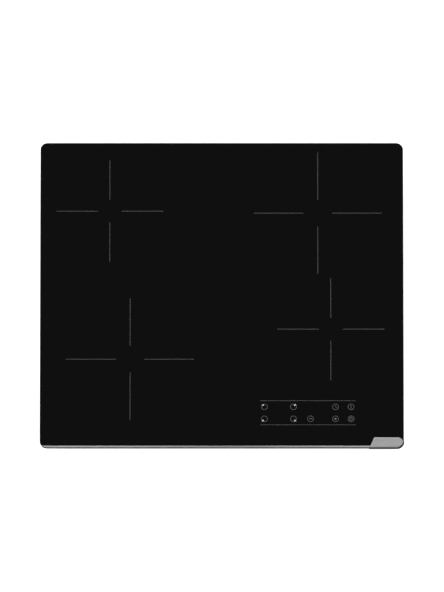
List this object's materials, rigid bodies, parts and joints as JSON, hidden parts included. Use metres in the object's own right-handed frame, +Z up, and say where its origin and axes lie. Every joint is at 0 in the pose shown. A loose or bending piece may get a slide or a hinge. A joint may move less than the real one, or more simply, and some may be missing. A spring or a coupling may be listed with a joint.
{
  "type": "induction hob",
  "caption": "Built-in induction cooktop: black glass-ceramic plate with cross-marked cooking zones and touch keys, metal front trim and corner plate, in a shallow steel tray.",
  "frame": {"origin": "middle of the hob on the worktop's surface, where the foam seal rests", "axes": "+Z up, out of the cooking surface; the cook stands at -Y; +X is to the cook's right"},
  "size_m": [0.5907, 0.5209, 0.0574],
  "materials": {
    "black_glass": "polished black glass-ceramic",
    "trim_aluminium": "brushed, anodised",
    "foam_seal": "closed-cell foam",
    "bond_silicone": "cured silicone",
    "zinc_steel_sheet": "zinc-coated sheet",
    "zinc_steel_clamp": "zinc-plated strip",
    "plated_fastener": "zinc-plated",
    "spring_steel": "rolled strip",
    "label_foil": "matt foil",
    "coil_plate_aluminium": "mill finish",
    "heatsink_aluminium": "extruded",
    "white_nylon": "moulded",
    "carrier_plastic": "moulded, glass-filled",
    "copper_litz": "enamelled litz",
    "ferrite": "sintered",
    "mica": "pressed sheet",
    "sensor_silicone": "moulded silicone",
    "coil_lead_sleeve": "glass-fibre sleeve",
    "mains_lead_sleeve": "extruded insulation",
    "circuit_board": "solder-masked",
    "device_epoxy": "moulded epoxy",
    "capacitor_case": "moulded case",
    "choke_core": "lacquered copper on a core",
    "fan_plastic": "moulded",
    "motor_steel": "turned",
    "touch_plastic": "moulded",
    "conductive_foam": "foam",
    "display_plastic": "moulded",
    "ribbon_pvc": "extruded",
    "box_plastic": "moulded, fine texture",
    "block_polyamide": "moulded",
    "terminal_brass": "nickel-flashed brass",
    "bushing_rubber": "moulded"
  },
  "bodies": {
    "hob": {"base_tray": "zinc_steel_sheet", "board_spacers": "white_nylon", "cable_bushing": "bushing_rubber", "chokes": "choke_core", "clamp_nuts": "plated_fastener", "clamp_screws": "plated_fastener", "coil_carrier_front_left": "carrier_plastic", "coil_carrier_front_right": "carrier_plastic", "coil_carrier_rear_left": "carrier_plastic", "coil_carrier_rear_right": "carrier_plastic", "coil_leads": "coil_lead_sleeve", "coil_plate_left": "coil_plate_aluminium", "coil_plate_right": "coil_plate_aluminium", "coil_springs": "spring_steel", "coil_winding_front_left": "copper_litz", "coil_winding_front_right": "copper_litz", "coil_winding_rear_left": "copper_litz", "coil_winding_rear_right": "copper_litz", "corner_cap": "trim_aluminium", "cover_pin": "plated_fastener", "display_modules": "display_plastic", "earth_stud": "plated_fastener", "fan_housing_left": "fan_plastic", "fan_housing_right": "fan_plastic", "fan_motors": "motor_steel", "ferrite_bars": "ferrite", "film_capacitors": "capacitor_case", "filter_board": "circuit_board", "front_trim": "trim_aluminium", "glass_bond": "bond_silicone", "glass_frame": "zinc_steel_sheet", "glass_top": "black_glass", "heatsink_left": "heatsink_aluminium", "heatsink_right": "heatsink_aluminium", "mains_leads": "mains_lead_sleeve", "mica_discs": "mica", "ntc_sensors": "sensor_silicone", "plate_posts": "white_nylon", "power_board_left": "circuit_board", "power_board_right": "circuit_board", "power_semiconductors": "device_epoxy", "rating_plate": "label_foil", "ribbon_cable": "ribbon_pvc", "sheet_screws": "plated_fastener", "terminal_block": "block_polyamide", "terminal_box": "box_plastic", "terminal_links": "terminal_brass", "terminal_screws": "terminal_brass", "touch_board": "circuit_board", "touch_holder": "touch_plastic", "touch_pads": "conductive_foam", "worktop_gasket": "foam_seal"},
    "fan_wheel_left": {"fan_rotor_left": "fan_plastic"},
    "fan_wheel_right": {"fan_rotor_right": "fan_plastic"},
    "terminal_lid": {"terminal_cover": "box_plastic"},
    "clamp_front_left": {"clamp_front_left": "zinc_steel_clamp"},
    "clamp_front_right": {"clamp_front_right": "zinc_steel_clamp"},
    "clamp_rear_left": {"clamp_rear_left": "zinc_steel_clamp"},
    "clamp_rear_right": {"clamp_rear_right": "zinc_steel_clamp"}
  },
  "joints": [
    {"name": "fan_left_spin", "type": "hinge", "parent": "hob", "child": "fan_wheel_left", "pos_m": [-0.17, 0.172, -0.035], "axis": [0, 0, 1], "continuous": true},
    {"name": "fan_right_spin", "type": "hinge", "parent": "hob", "child": "fan_wheel_right", "pos_m": [0.17, 0.172, -0.035], "axis": [0, 0, 1], "continuous": true},
    {"name": "terminal_lid_hinge", "type": "hinge", "parent": "hob", "child": "terminal_lid", "pos_m": [0, 0.1874, -0.047], "axis": [-1, 0, 0], "range_deg": [0, 90]},
    {"name": "clamp_front_left_swivel", "type": "hinge", "parent": "hob", "child": "clamp_front_left", "pos_m": [-0.26, -0.19, -0.044], "axis": [0, 0, 1], "range_deg": [0, 90]},
    {"name": "clamp_front_right_swivel", "type": "hinge", "parent": "hob", "child": "clamp_front_right", "pos_m": [0.26, -0.19, -0.044], "axis": [0, 0, -1], "range_deg": [0, 90]},
    {"name": "clamp_rear_left_swivel", "type": "hinge", "parent": "hob", "child": "clamp_rear_left", "pos_m": [-0.26, 0.19, -0.044], "axis": [0, 0, -1], "range_deg": [0, 90]},
    {"name": "clamp_rear_right_swivel", "type": "hinge", "parent": "hob", "child": "clamp_rear_right", "pos_m": [0.26, 0.19, -0.044], "axis": [0, 0, 1], "range_deg": [0, 90]}
  ]
}
